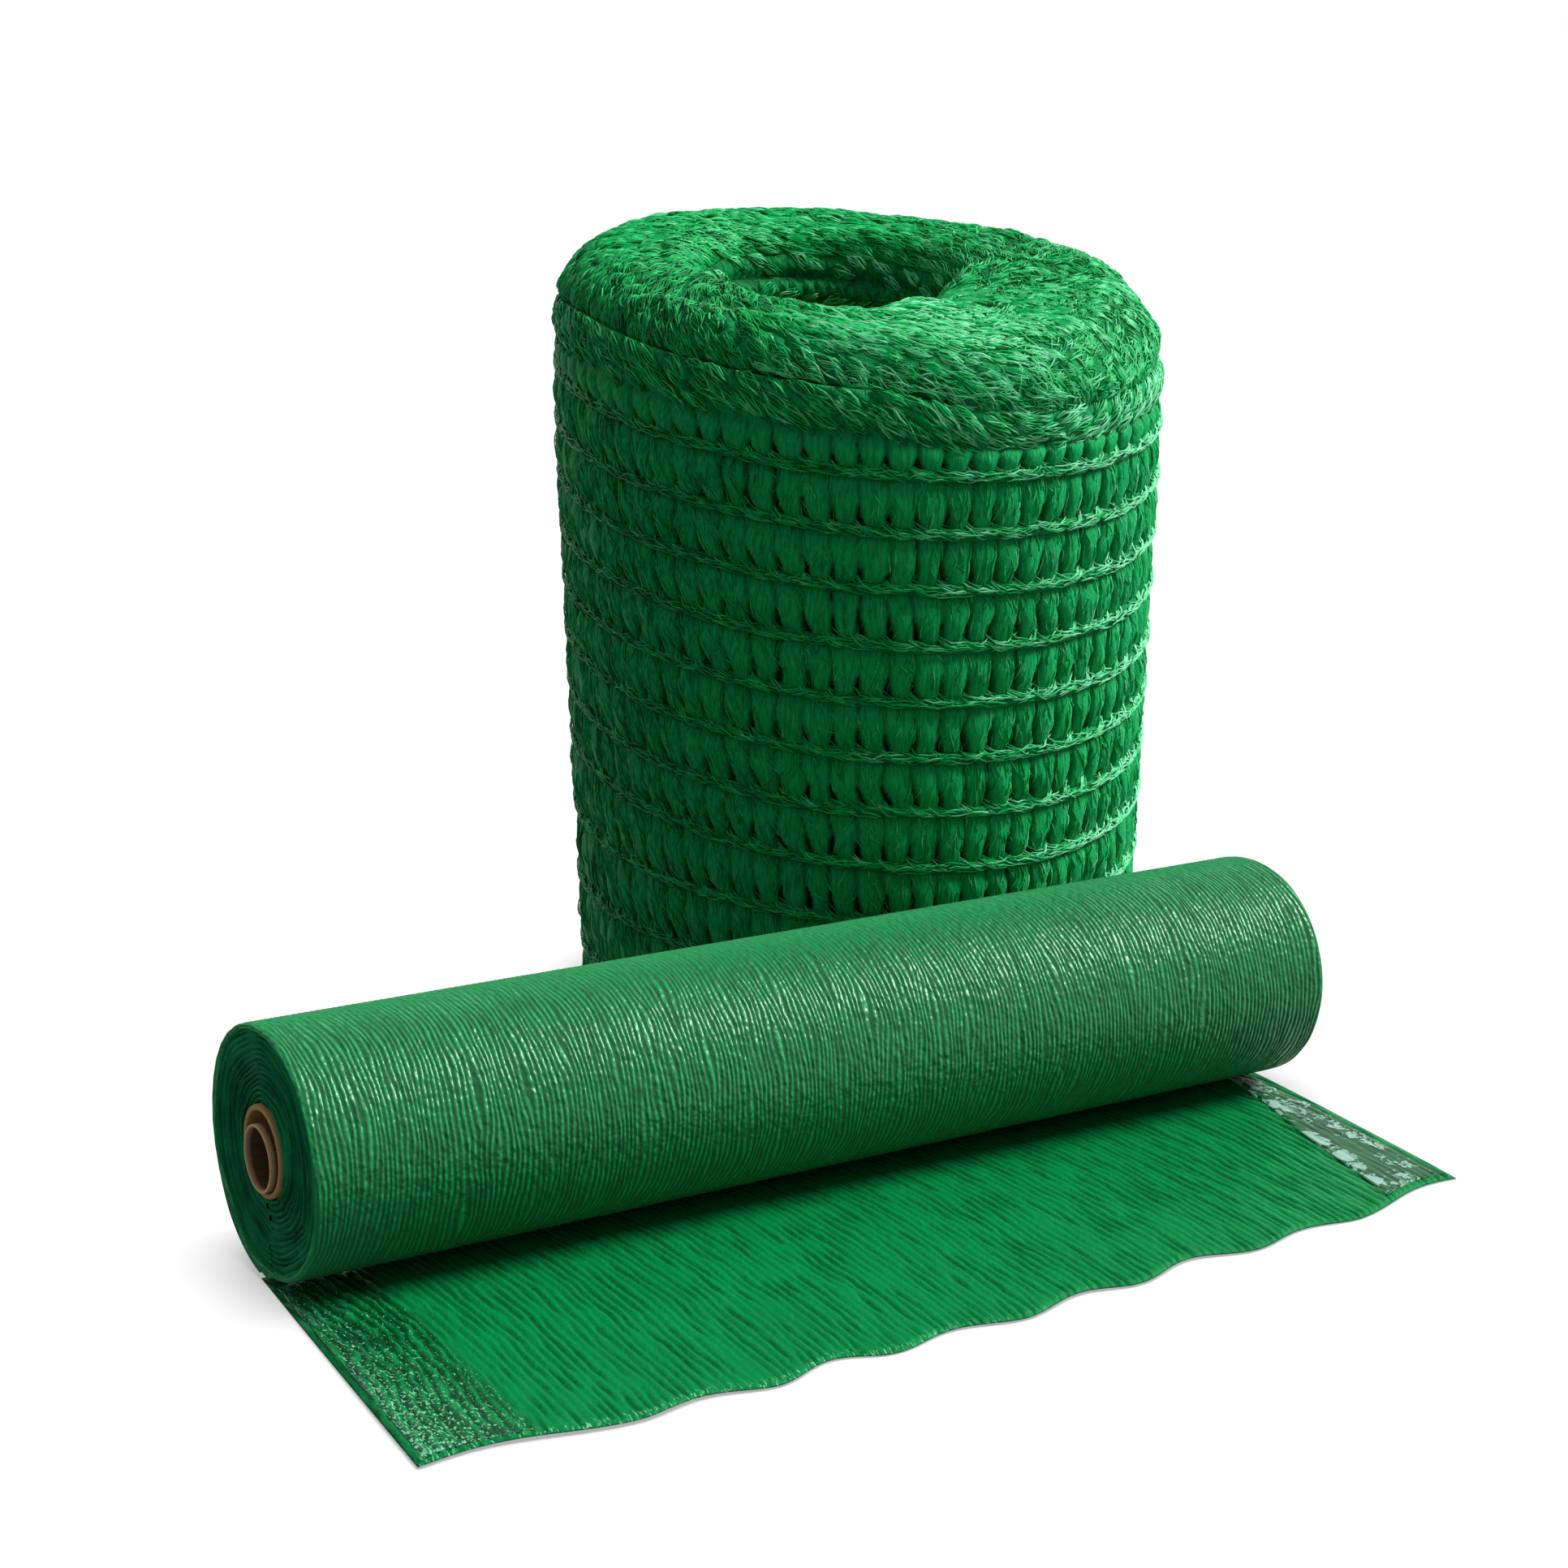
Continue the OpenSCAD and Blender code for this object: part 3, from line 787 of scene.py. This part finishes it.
def point_on(points, row, column):
    """A place on a ring piece, between the points of its grid."""
    row = np.clip(row, 0, points.shape[0] - 1.001)
    column = column % (points.shape[1] - 1)
    i, j = row.astype(int), column.astype(int)
    down, across = (row - i)[..., None], (column - j)[..., None]
    near = points[i, j] * (1 - across) + points[i, j + 1] * across
    far = points[i + 1, j] * (1 - across) + points[i + 1, j + 1] * across
    return near * (1 - down) + far * down

def skin_at(points, row, column):
    """A place on a ring piece, the way out of it there, and the lengths of a step down and across."""
    down = point_on(points, row + 0.7, column) - point_on(points, row - 0.7, column)
    across = point_on(points, row, column + 0.7) - point_on(points, row, column - 0.7)
    out = np.cross(across, down)
    out /= np.linalg.norm(out, axis=-1, keepdims=True) + 0.000001
    steps = [np.clip(np.linalg.norm(side, axis=-1) / 1.4, 0.15, None) for side in (down, across)]
    return point_on(points, row, column), out, steps[0], steps[1]

def strands_over(points, row, column, slant, length, spread, rise, curl=0.7):
    """Strands on a ring piece, at a slant to the ring. Their middles are spread sideways and raised,
    while their tips stay together, which gathers them into bunches."""
    s = np.linspace(-0.5, 0.5, strand_rows)
    middle = np.cos(np.pi * s)
    down_step, across_step = skin_at(points, row, column)[2:]
    bend = (curl * draws.normal(0, 1, len(row)))[:, None] * np.sin(2 * np.pi * s)
    along = s * length[:, None]
    beside = spread[:, None] * middle + bend
    slant = np.radians(slant)[:, None]
    down = along * np.sin(slant) + beside * np.cos(slant)
    across = along * np.cos(slant) - beside * np.sin(slant)
    place, out = skin_at(
        points, row[:, None] + down / down_step[:, None], column[:, None] + across / across_step[:, None])[:2]
    return place + out * (rise[:, None] * middle - 0.15)[..., None], out

def bunches(points, levels, per_ring, strands):
    """Middles of strands in bunches: a ring of bunches at each level, set off against the last."""
    columns = points.shape[1] - 1
    number = np.arange(per_ring)
    row = np.concatenate([level + draws.uniform(-2, 2, per_ring) for level in levels])
    column = np.concatenate([
        (number + 0.5 * (i % 2) + draws.uniform(-0.3, 0.3, per_ring)) * columns / per_ring
        for i in range(len(levels))])
    spread = np.tile(np.linspace(-1, 1, strands), len(row))
    row, column = np.repeat(row, strands), np.repeat(column, strands)
    return row, column, seam + 360 * column / columns, spread

row_green = yarn_finish("bundle_fibres", row_fibres, paint(6, 182, 90), paint(0, 126, 58), 0.5, 0.0012)

row_columns = 12 * bundles
row_strands = []
for k in range(1, cord_count + 2):
    steps = 15 if k <= cord_count else 25
    share = np.concatenate([np.linspace(0, 1, steps), [1, 0.5, 0, 0]])
    is_face = np.concatenate([np.ones(steps), np.zeros(3), [1]])
    v, u = np.meshgrid(share, np.linspace(0, 1, row_columns + 1), indexing="ij")
    is_face = np.broadcast_to(is_face[:, None], v.shape)
    a = seam + 360 * u
    loose = loose_share(a)
    low, high = row_low(k, a), row_high(k, a)
    # The uppermost row has short bundles under a broad plaited edge
    braid = as_share((v - 0.36) / 0.1) if k > cord_count else 0 * v
    tall = as_share(v / 0.42) if k > cord_count else v
    flat = round_the_net(147, a, low + v * (high - low))
    place = a / 360 * bundles + 0.5 + bundle_lean(a) * (0.3 - tall)
    place = place + 0.16 * soft_noise(flat / (14, 14, 8), 90 + k)
    which = np.floor(place) % bundles
    s = place - np.floor(place) - 0.5
    luck = soft_noise(at(which * 3.7, k * 9.1, 0), 91)
    foot = 0.31 + 0.07 * loose
    closed = 0.95 - 0.45 * loose
    half = (foot + (0.54 - foot) * as_share(tall / closed) ** 1.3) * (1 + 0.14 * luck)
    crown = np.sqrt(as_share(1 - (s / half) ** 2))
    bulge = as_share(np.sin(np.pi * as_share(0.12 + 0.84 * tall))) ** 0.5
    strands = np.abs(np.sin(np.pi * (s * 6 + 1.8 * soft_noise(flat / (6, 6, 16), 92))))
    body = (6.4 * bulge + 0.7 * luck) * crown ** (0.8 - 0.45 * loose) + 0.4 * (strands - 0.5) * crown
    lobe = a / 5 + (1.3 - 2.2 * arc_share(a, 240, 290, 330, 358)) * (v - 0.7) / 0.3
    lobe = lobe + 0.3 * soft_noise(flat / 12, 95)
    plait = np.abs(np.sin(np.pi * lobe)) ** 0.7
    band = 0.6 + (2.2 + 2.6 * plait) * np.sin(np.pi * as_share((v - 0.36) / 0.66)) ** 0.5
    body = body * (1 - braid) + band * braid
    fluff = 0.35 * soft_noise(flat / 4, 93) + 0.25 * soft_noise(flat / (1.7, 1.7, 7), 94)
    r = wrap_radius + 0.6 + body + fluff * np.maximum(crown, braid)
    r = np.where(is_face > 0, r, wrap_radius - 0.7)
    reach = 2.4 * (2 * v - 1)
    if k == 1:
        reach = np.maximum(reach, 0)
    if k > cord_count:
        reach = np.minimum(reach, 0)
    z = low + v * (high - low) + reach
    # Painted shade: the bundles are painted dark in the slots between them, in the grooves between their
    # strands and towards the cords; the plaited edge is darker between its lobes.
    unshaded_share = as_share(crown * 1.5 - 0.15) * as_share(0.62 + 0.5 * strands) * (0.55 + 0.45 * bulge)
    unshaded_share = unshaded_share * (1 - braid) + as_share(0.25 + 0.5 * plait) * braid
    points = round_the_net(r, a, z)
    # Painted light: the bundles are painted paler on the lit side.
    row = grid_piece(f"bundle_row_{k:02d}", points, row_green, open=unshaded_share, tone=0.6 * lit_share(a))
    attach(row, "net_roll")
    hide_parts(f"stitch_row_{k:02d}")

    # Loose strands: a matted fleece on the left, and fine upright ones along the bundles elsewhere
    if k <= cord_count:
        count = 440
        on_left = np.arange(count) < 190
        line_a = np.where(on_left, draws.normal(182, 28, count), draws.normal(280, 38, count))
        line_v = draws.uniform(0.03, 0.97, count)
        slant = np.where(on_left, draws.normal(-62, 14, count), draws.normal(86, 9, count))
        length = np.where(on_left, draws.uniform(10, 20, count), draws.uniform(7, 17, count))
        lines, out = strands_over(
            points, line_v * (steps - 1), (line_a - seam) / 360 * row_columns, slant, length,
            0 * slant, draws.uniform(0.2, 0.9, count))
        # Painted light: loose strands are painted paler on the lit side.
        tone = 0.14 + 0.45 * lit_share(line_a) + draws.uniform(-0.14, 0.24, count)
        row_strands.append((lines, out, draws.uniform(0.6, 1.1, count), tone))
    else:
        line_row, line_column, line_a, spread = bunches(points[:25], (12.5, 17, 21.5), 72, 8)
        count = len(line_row)
        slant = -32 + 64 * arc_share(line_a, 252, 292, 330, 358) + draws.normal(0, 7, count)
        lines, out = strands_over(
            points[:25], line_row, line_column, slant, draws.uniform(17, 26, count),
            3.6 * spread, 0.5 + 1.6 * np.sqrt(1 - spread ** 2))
        # Painted light: the plait's strands are painted paler on the lit side.
        tone = 0.32 + 0.45 * lit_share(line_a) + draws.uniform(-0.25, 0.28, count)
        row_strands.append((lines, out, draws.uniform(0.9, 1.5, count), tone))

loose_rows = [np.concatenate(parts) for parts in zip(*row_strands[:-1])]
fleece = strand_piece("fleece_strands", *loose_rows)
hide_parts(*[f"stitch_row_{k:02d}" for k in range(1, cord_count + 1)])
edge_plait = strand_piece("edge_plait_strands", *row_strands[-1])
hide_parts(f"stitch_row_{cord_count + 1:02d}")

# ---- Net wraps ----
# The net is a thick pad wound three times round an open middle. Its folded upper edge shows as
# bunches of strands: plaits and a deep groove on the left, where it is loose, one broad felted
# cushion on the right, and in the middle a hollow that a fold cuts off straight.
wrap_width = (wrap_radius - hollow_radius - 0.6) / 3
wrap_outers = [wrap_radius - k * (wrap_width + 0.3) for k in range(3)]

def top_height(r, a):
    """The sloping top, rounded off at the shoulder and swollen a little at the far right."""
    past = np.clip(r - net_radius + shoulder, 0, shoulder - 0.5)
    plane = net_height - r * lean * np.cos(np.radians(a - low_side)) - shoulder
    plane = plane + np.sqrt(shoulder ** 2 - past ** 2)
    off = (a - 350 + 180) % 360 - 180
    return plane + 4 + 7 * np.exp(-(off / 38) ** 2) * as_share((r - 60) / 60)

def hollow_edge(a):
    """Radius of the open middle: round on the left, cut off by a straight fold on the right."""
    rounded = 68 + 10 * np.cos(np.radians(a - 140))
    fold = 34.4 / np.maximum(np.cos(np.radians(a - 303.7)), 0.05)
    share = as_share(0.5 + (fold - rounded) / 12)
    return rounded * share + fold * (1 - share) - 6 * share * (1 - share)

def felt_fibres(tree):
    """Fibres that run round the ring, but curl and cross."""
    vector = fibre_ring(tree, 170, 46)
    values = [("Vector", own_place(tree)), ("Scale", 75.0), ("Detail", 2.0)]
    curl = node(tree, "TexNoise", values).outputs["Color"]
    curl = reckon(tree, "MULTIPLY", curl, (5, 5, 9), kind="VectorMath")
    return reckon(tree, "ADD", vector, curl, kind="VectorMath")

wrap_green = yarn_finish("felted_yarn", felt_fibres, paint(4, 156, 76), paint(0, 96, 44), 0.55, 0.0014)

def crown_slant(a, place):
    """Slant of the crown's strands to the ring: steep on the left, low in front, crossing on the right."""
    steep = -18 - 38 * arc_share(a, 100, 150, 185, 240)
    crossing = np.where(soft_noise(place / 9, 120) > 0, -64, 18) + draws.normal(0, 12, len(a))
    right = arc_share(a, 262, 290, 340, 359)
    return np.where(draws.random(len(a)) < right, crossing, steep)

crown_columns = 640
skins = []
for number, outer in enumerate(wrap_outers):
    inner = outer - wrap_width
    name = ("outer", "middle", "inner")[number]
    crown_rows = (56, 30, 60)[number]
    t = np.linspace(0, 1, crown_rows)
    wall = np.concatenate([np.linspace(0, 0.3, 42)[1:], [0.4, 0.7, 1]]) if number == 2 else np.array([0.5, 1])
    kind = np.concatenate([np.zeros(crown_rows), np.ones(len(wall)), [2, 2, 3, 4]])
    t = np.concatenate([t, wall, [0, 1, 0, 0]])
    t, u = np.meshgrid(t, np.linspace(0, 1, crown_columns + 1), indexing="ij")
    kind = np.broadcast_to(kind[:, None], t.shape)
    a = seam + 360 * u
    loose = loose_share(a)
    left = arc_share(a, 140, 178, 238, 268)
    rim = hollow_edge(a) if number == 2 else inner - 0.5 + 0 * a
    edge = 149.6 - 4 * left if number == 0 else outer + 0.5
    crown_t = np.where(kind == 0, t, np.where(kind == 1, 1.0, 0.0))
    tuck = as_share(1 - crown_t / 0.12) if number == 0 else 0 * crown_t
    if number == 0:
        over = as_share((crown_t - 0.12) / 0.88)
        r = edge - (edge - rim) * (1 - np.cos(np.pi * over / 1.3)) / (1 - math.cos(math.pi / 1.3))
    elif number == 2:
        r = edge - (edge - rim) * np.sin(np.pi / 2 * crown_t)
    else:
        r = edge - (edge - rim) * crown_t
    flat = round_the_net(r, a, top_height(r, a))
    # Creases: the groove over the outermost row, one between two turns, and the roll-off into the hollow
    groove = 4 * left * np.exp(-(edge - r) / 5) if number == 0 else 0 * r
    part = arc_share(a, 165, 185, 205, 225)
    crease = 3.2 * part * np.exp(-((r - 118.6 + 0.25 * (a % 360 - 195)) / 6) ** 2)
    fold_share = arc_share(a, 262, 290, 320, 345)
    roll_off = 6 + 7 * fold_share
    into = (11 + 5 * fold_share) * np.exp(-np.clip(r - rim, 0, 60) / roll_off) if number == 2 else 0 * r
    # Lobes: a chain of slanting plaits on the outer turn, and a weaker one nearer the hollow
    chain_r = 118 + 0.42 * (a % 360 - 165)
    chain = np.exp(-((r - chain_r) / 8) ** 2) * arc_share(a, 150, 170, 237, 262)
    ring = np.exp(-((r - 92) / 9) ** 2) * 0.6 * loose
    slant = a / 5 + 0.09 * np.abs(r - chain_r) + 0.5 * soft_noise(flat / 16, 100)
    lobes = np.abs(np.sin(np.pi * slant)) ** 0.7
    felt = 0.9 * soft_noise(flat / 9, 101) + 0.4 * soft_noise(flat / 3.5, 102)
    lump = 4.2 * (lobes - 0.5) * (chain + ring) + felt + 1.6 * soft_noise(flat / 30, 106)
    sink = groove + crease + into
    z_crown = top_height(r, a) - sink + lump * np.clip(1 - sink / 14, 0.2, 1)
    r_crown = r + np.where(number == 0, 0.8, 0) * lump * np.exp(-(edge - r) / 8)
    z_crown = z_crown * (1 - tuck) + plait_top(a) * tuck
    r_crown = r_crown - (2.5 + 3.5 * left) * tuck ** 1.6 - 1.5 * left * np.exp(-(edge - r) / 4)
    down = np.where(kind == 1, t, 0)
    z_wall = z_crown * (1 - down)
    settled_share = as_share((z_wall - 240) / 60)
    settled = rim * settled_share + inner * (1 - settled_share)
    if number == 2:
        tier = np.abs(np.sin(np.pi * (z_crown - z_wall + 4) / 15))
        twist = np.abs(np.sin(np.pi * (a / 5 + (z_crown - z_wall) / 11 + 0.6 * soft_noise(flat / 15, 107))))
        knots = 4.5 * tier ** 0.7 + 2.2 * twist * tier
        knots = knots + 0.8 * soft_noise(flat / 5 + z_wall[..., None] / 5, 108)
        settled = settled - knots * as_share(down * 30)
    r_all = np.where(kind == 1, settled, r_crown)
    z_all = np.where(kind == 1, z_wall, z_crown)
    r_all = np.where(kind == 2, np.where(t > 0.5, outer - 4, inner), r_all)
    z_all = np.where(kind == 2, 0, z_all)
    r_all = np.where(kind == 3, outer, r_all)
    z_all = np.where(kind == 3, 6, z_all)
    r_all[-1] = r_all[0]
    z_all[-1] = z_all[0]
    # Painted shade: the crown is painted darker in its creases and groove and where it lies low.
    unshaded_share = np.clip(0.66 + 0.1 * lump - 0.09 * (crease + groove), 0.05, 1)
    if number == 2:
        # Painted shade: the hollow's wall is painted darker between its tiers and the deeper it goes.
        inside = as_share(0.35 + 0.35 * tier + 0.25 * twist) * np.clip(1.15 - down * 3.2, 0.15, 1)
        unshaded_share = np.where(kind == 1, inside, unshaded_share)
    points = round_the_net(r_all, a, z_all)
    # Painted light: the crown is painted paler in front.
    in_front = 0.45 * arc_share(a, 195, 235, 280, 320)
    wrap = grid_piece(f"net_{name}_turn", points, wrap_green, open=unshaded_share, tone=in_front)
    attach(wrap, "net_roll")
    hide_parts(f"{name}_wrap")
    skins.append(points[:crown_rows])
    throat = points[crown_rows - 2:crown_rows + 26]

# Strands cover the crown: bunches that overlap like plaits, and single ones that stray between them
crown = np.concatenate(skins)
crown_levels = [
    ("outer", (4, 13, 22, 32, 43, 53), 72, 9, 650),
    ("middle", (62, 72, 82), 58, 8, 420),
    ("inner", (90, 102, 116, 132), 44, 8, 620)]
for name, levels, per_ring, strands, extra in crown_levels:
    line_row, line_column, line_a, spread = bunches(crown, levels, per_ring, strands)
    stray = draws.integers(0, len(line_row), len(line_row) // 3)
    line_row = np.concatenate([line_row, line_row[stray] + draws.normal(0, 4, len(stray))])
    line_column = np.concatenate([line_column, line_column[stray] + draws.normal(0, 6, len(stray))])
    spread = np.concatenate([spread, draws.uniform(-1, 1, len(stray))])
    # More single strands lie across the felted right side
    line_row = np.concatenate([line_row, draws.uniform(levels[0] - 3, levels[-1] + 6, extra)])
    extra_a = draws.normal(303, 24, extra)
    line_column = np.concatenate([line_column, (extra_a - seam) / 360 * crown_columns])
    spread = np.concatenate([spread, 0 * extra_a])
    line_a = seam + 360 * line_column / crown_columns
    kept = (line_row > 9) | (draws.random(len(line_a)) < arc_share(line_a, 245, 265, 340, 359))
    line_row, line_column, line_a, spread = [v[kept] for v in (line_row, line_column, line_a, spread)]
    count = len(line_row)
    right = arc_share(line_a, 262, 290, 340, 359)
    line_slant = crown_slant(line_a, point_on(crown, line_row, line_column)) + draws.normal(0, 8, count)
    lines, out = strands_over(
        crown, line_row, line_column, line_slant, draws.uniform(12, 21, count) - 6 * right,
        (3.8 - 1.8 * right) * spread, 0.3 + (1.3 - 0.8 * right) * np.sqrt(1 - spread ** 2), 0.7 - 0.4 * right)
    # Painted light: crown strands are painted darker on the left and paler in front and on the lit side.
    tone = 0.45 + 0.06 * lit_share(line_a) + draws.uniform(-0.25, 0.3, count)
    tone = tone - 0.16 * arc_share(line_a, 120, 160, 185, 230) + 0.2 * arc_share(line_a, 205, 235, 270, 300)
    groups = [(lines, out, draws.uniform(0.8, 1.4, count), tone)]
    if name == "inner":
        line_row, line_column, line_a, spread = bunches(throat, (3, 9, 15, 21), 40, 8)
        count = len(line_row)
        way = np.where(line_row % 12 < 6, -30, 30) + draws.normal(0, 8, count)
        lines, out = strands_over(
            throat, line_row, line_column, way, draws.uniform(12, 18, count), 3 * spread,
            0.3 + 1.5 * np.sqrt(1 - spread ** 2))
        # Painted light: throat strands are painted paler the higher they sit in the hollow.
        tone = 0.85 - 0.025 * line_row + draws.uniform(-0.3, 0.3, count)
        groups.append((lines, out, draws.uniform(0.9, 1.4, count), tone))
    crown_strands = strand_piece(f"{name}_turn_strands", *[np.concatenate(parts) for parts in zip(*groups)])
    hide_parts(f"{name}_wrap")

# ---- Studio ----
# A white floor that keeps a soft shadow, darkest where something stands on it, a white surround,
# and one light high on the right.
bpy.ops.object.select_all(action="DESELECT")
bpy.ops.mesh.primitive_plane_add(size=12, location=(0, 0, -0.00005))
floor = bpy.context.object
floor.name = "floor"
white_floor = bpy.data.materials.new("white_floor")
white_floor.use_nodes = True
tree = white_floor.node_tree
tree.nodes.clear()

def seen_directly(tree):
    """1 for what the camera sees, straight or in a gloss or through glass."""
    path = node(tree, "LightPath").outputs
    seen = reckon(tree, "MAXIMUM", path["Is Camera Ray"], path["Is Glossy Ray"])
    return reckon(tree, "MAXIMUM", seen, path["Is Transmission Ray"])

dull = node(tree, "BsdfDiffuse", [("Color", (0.2, 0.2, 0.2, 1))]).outputs[0]
matt = node(tree, "BsdfDiffuse", [("Color", (0.1, 0.1, 0.1, 1))]).outputs[0]
nearby = node(tree, "AmbientOcclusion", [("Distance", 0.035)]).outputs["AO"]
glow = reckon(tree, "MAXIMUM", ramp(tree, nearby, 0.0, 0.98), 0.42)
light = node(tree, "Emission", [("Color", (1, 1, 1, 1)), ("Strength", glow)]).outputs[0]
white = node(tree, "AddShader", [(0, matt), (1, light)]).outputs[0]
mixed = node(tree, "MixShader", [(0, seen_directly(tree)), (1, dull), (2, white)]).outputs[0]
node(tree, "OutputMaterial", [("Surface", mixed)])
floor.data.materials.append(white_floor)

world = bpy.data.worlds.new("surround")
bpy.context.scene.world = world
world.use_nodes = True
tree = world.node_tree
tree.nodes.clear()
soft = node(tree, "Background", [("Color", (1, 1, 1, 1)), ("Strength", 0.22)]).outputs[0]
bright = node(tree, "Background", [("Color", (1, 1, 1, 1)), ("Strength", 1.0)]).outputs[0]
mixed = node(tree, "MixShader", [(0, seen_directly(tree)), (1, soft), (2, bright)]).outputs[0]
node(tree, "OutputWorld", [("Surface", mixed)])

light_azimuth, light_elevation = 338, 44
bpy.ops.object.select_all(action="DESELECT")
bpy.ops.object.light_add(type="SUN", location=(0, 0, 2))
lamp = bpy.context.object
lamp.name = "main_light"
lamp.rotation_euler = (math.radians(90 - light_elevation), 0, math.radians(light_azimuth + 90))
lamp.data.energy = 3.9
lamp.data.angle = math.radians(24)

bpy.context.scene.view_settings.view_transform = "Standard"
